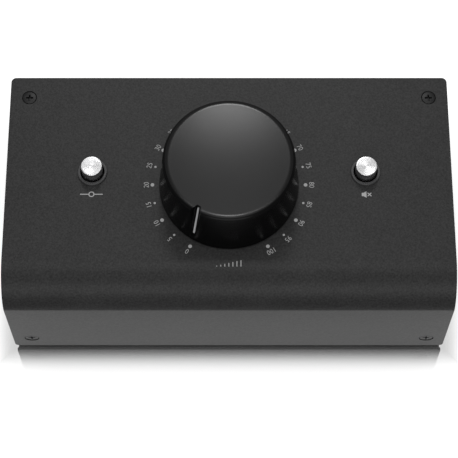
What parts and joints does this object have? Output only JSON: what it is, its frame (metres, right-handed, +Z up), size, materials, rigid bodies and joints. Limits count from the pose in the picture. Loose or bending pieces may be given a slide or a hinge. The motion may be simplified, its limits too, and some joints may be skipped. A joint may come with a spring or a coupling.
{
  "type": "studio monitor controller",
  "caption": "Low desk box with a bent metal cover, one large level knob, two push buttons and rear audio sockets.",
  "frame": {"origin": "on the table under the knob's axis, at the centre of the bounding box's bottom", "axes": "+X to the right across the panel, -Y towards the user's side with the front face, +Z up"},
  "size_m": [0.15, 0.0812, 0.071],
  "materials": {
    "casing_paint": "fine-grained powder coat",
    "knob_plastic": "glossy black side, satin top",
    "pointer_silver": "satin light grey",
    "cap_silver": "turned and polished",
    "collar_plastic": "satin",
    "black_screw": "black oxide",
    "foot_rubber": "matt",
    "bright_metal": "plated",
    "gang_wafer": "pressed laminate",
    "board_green": "solder mask",
    "socket_black": "moulded",
    "lead_grey": "ribbed flat lead"
  },
  "bodies": {
    "casing": {"top_cover": "casing_paint", "chassis": "casing_paint", "cover_screw_rear_left": "black_screw", "cover_screw_rear_right": "black_screw", "cover_screw_front_left": "black_screw", "cover_screw_front_right": "black_screw", "foot_front_left": "foot_rubber", "foot_front_right": "foot_rubber", "foot_rear_left": "foot_rubber", "foot_rear_right": "foot_rubber", "pot_bushing": "bright_metal", "pot_frame": "bright_metal", "pot_washer": "bright_metal", "pot_nut": "bright_metal", "pot_gang_1": "gang_wafer", "pot_gang_2": "gang_wafer", "pot_gang_3": "gang_wafer", "pot_gang_4": "gang_wafer", "main_board": "board_green", "mono_button_collar": "collar_plastic", "mono_switch_spring": "bright_metal", "mono_switch_body": "socket_black", "mono_switch_board": "board_green", "mono_switch_lead": "lead_grey", "mono_board_screw_front": "black_screw", "mono_board_screw_rear": "black_screw", "mute_button_collar": "collar_plastic", "mute_switch_spring": "bright_metal", "mute_switch_body": "socket_black", "mute_switch_board": "board_green", "mute_switch_lead": "lead_grey", "mute_board_screw_front": "black_screw", "mute_board_screw_rear": "black_screw", "combo_input_left_shell": "socket_black", "combo_input_left_contact_block": "socket_black", "combo_input_left_screw_upper": "black_screw", "combo_input_left_screw_lower": "black_screw", "combo_input_right_shell": "socket_black", "combo_input_right_contact_block": "socket_black", "combo_input_right_screw_upper": "black_screw", "combo_input_right_screw_lower": "black_screw", "xlr_output_left_shell": "socket_black", "xlr_output_left_pin_insert": "socket_black", "xlr_output_left_screw_upper": "black_screw", "xlr_output_left_screw_lower": "black_screw", "xlr_output_right_shell": "socket_black", "xlr_output_right_pin_insert": "socket_black", "xlr_output_right_screw_upper": "black_screw", "xlr_output_right_screw_lower": "black_screw", "mini_jack": "socket_black"},
    "level_control": {"level_knob": "knob_plastic", "knob_pointer": "pointer_silver", "pot_shaft": "bright_metal"},
    "mono_button": {"mono_button_cap": "cap_silver", "mono_switch_plunger": "socket_black"},
    "mute_button": {"mute_button_cap": "cap_silver", "mute_switch_plunger": "socket_black"}
  },
  "joints": [
    {"name": "level_turn", "type": "hinge", "parent": "casing", "child": "level_control", "pos_m": [0, 0, 0.0496], "axis": [0, 0, -1], "range_deg": [0, 300]},
    {"name": "mono_press", "type": "slide", "parent": "casing", "child": "mono_button", "axis": [0, 0, -1], "range_m": [0, 0.0025], "stiffness_N_per_m": 600, "springref_m": -0.001, "deforming": ["mono_switch_spring"]},
    {"name": "mute_press", "type": "slide", "parent": "casing", "child": "mute_button", "axis": [0, 0, -1], "range_m": [0, 0.0025], "stiffness_N_per_m": 600, "springref_m": -0.001, "deforming": ["mute_switch_spring"]}
  ]
}
